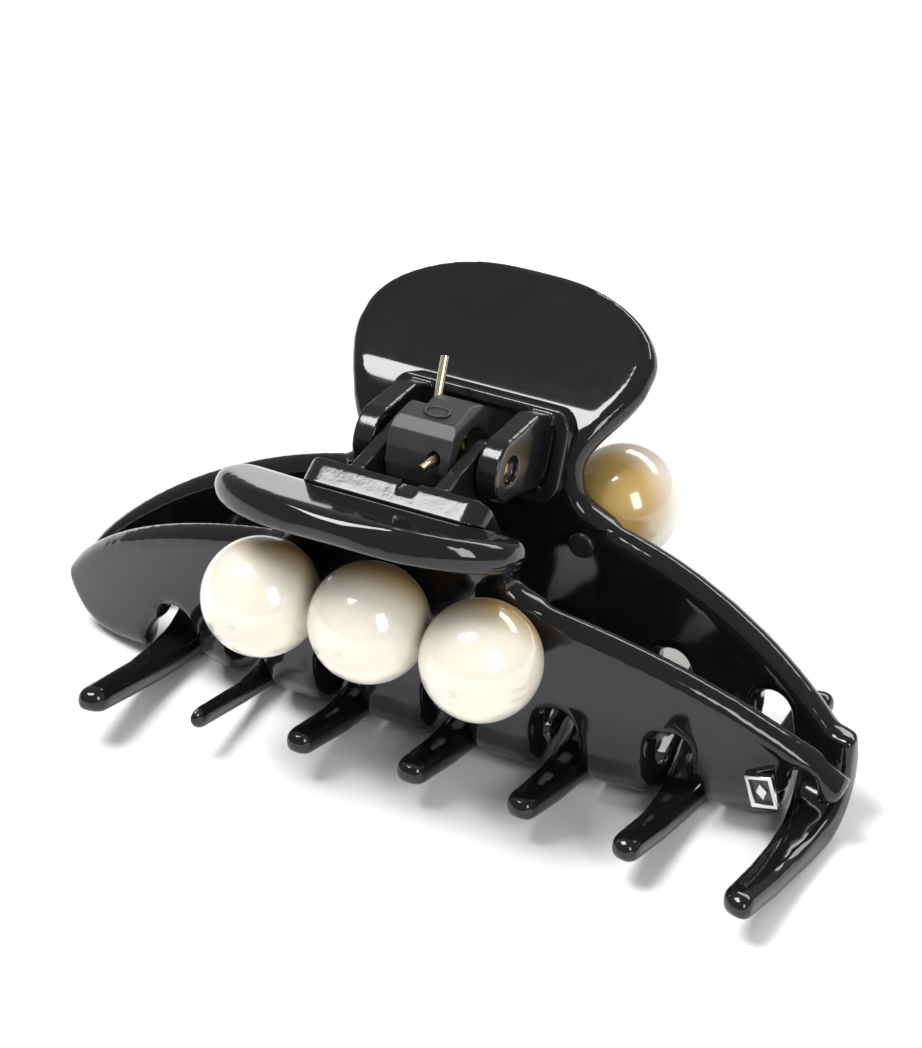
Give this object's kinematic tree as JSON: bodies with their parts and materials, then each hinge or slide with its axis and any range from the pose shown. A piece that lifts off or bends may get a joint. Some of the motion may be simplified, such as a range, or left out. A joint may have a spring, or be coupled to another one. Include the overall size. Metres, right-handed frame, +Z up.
{
  "type": "claw hair clip",
  "caption": "Spring-closed claw hair clip: two curved black jaws with interlocking round-ended teeth, fan thumb tabs, a sprung hinge and bead trim.",
  "frame": {"origin": "middle of the clip's length, between the jaws, on the surface the curved teeth rest on", "axes": "+X along the clip to the viewer's right, -Y toward the front jaw, +Y toward the rear jaw, +Z up through the thumb tabs"},
  "size_m": [0.0871, 0.0473, 0.0378],
  "materials": {
    "jaw_black": "polished black acetate",
    "bracket_black": "moulded glossy black",
    "cover_black": "satin black",
    "gold_wire": "bright light gold",
    "gold_pin": "polished pale gold",
    "pearl": "ivory pearl lacquer",
    "peg_plastic": "off-white moulded",
    "badge_metal": "polished nickel with darkened recess"
  },
  "bodies": {
    "rear_half": {"rear_jaw": "jaw_black", "rear_hinge_bracket": "bracket_black", "hinge_pin": "gold_pin", "spring_cover": "cover_black", "torsion_spring": "gold_wire", "bead_rear_left": "pearl", "bead_rear_middle": "pearl", "bead_rear_right": "pearl", "peg_rear_left": "peg_plastic", "peg_rear_middle": "peg_plastic", "peg_rear_right": "peg_plastic"},
    "front_half": {"front_jaw": "jaw_black", "front_hinge_bracket": "bracket_black", "badge": "badge_metal", "bead_front_left": "pearl", "bead_front_middle": "pearl", "bead_front_right": "pearl", "peg_front_left": "peg_plastic", "peg_front_middle": "peg_plastic", "peg_front_right": "peg_plastic"}
  },
  "joints": [
    {"name": "jaw_hinge", "type": "hinge", "parent": "rear_half", "child": "front_half", "pos_m": [0, -0.0004, 0.0314], "axis": [-1, 0, 0], "range_deg": [0, 50], "stiffness_Nm_per_rad": 0.1, "springref_deg": -34.38, "deforming": ["torsion_spring"]}
  ]
}
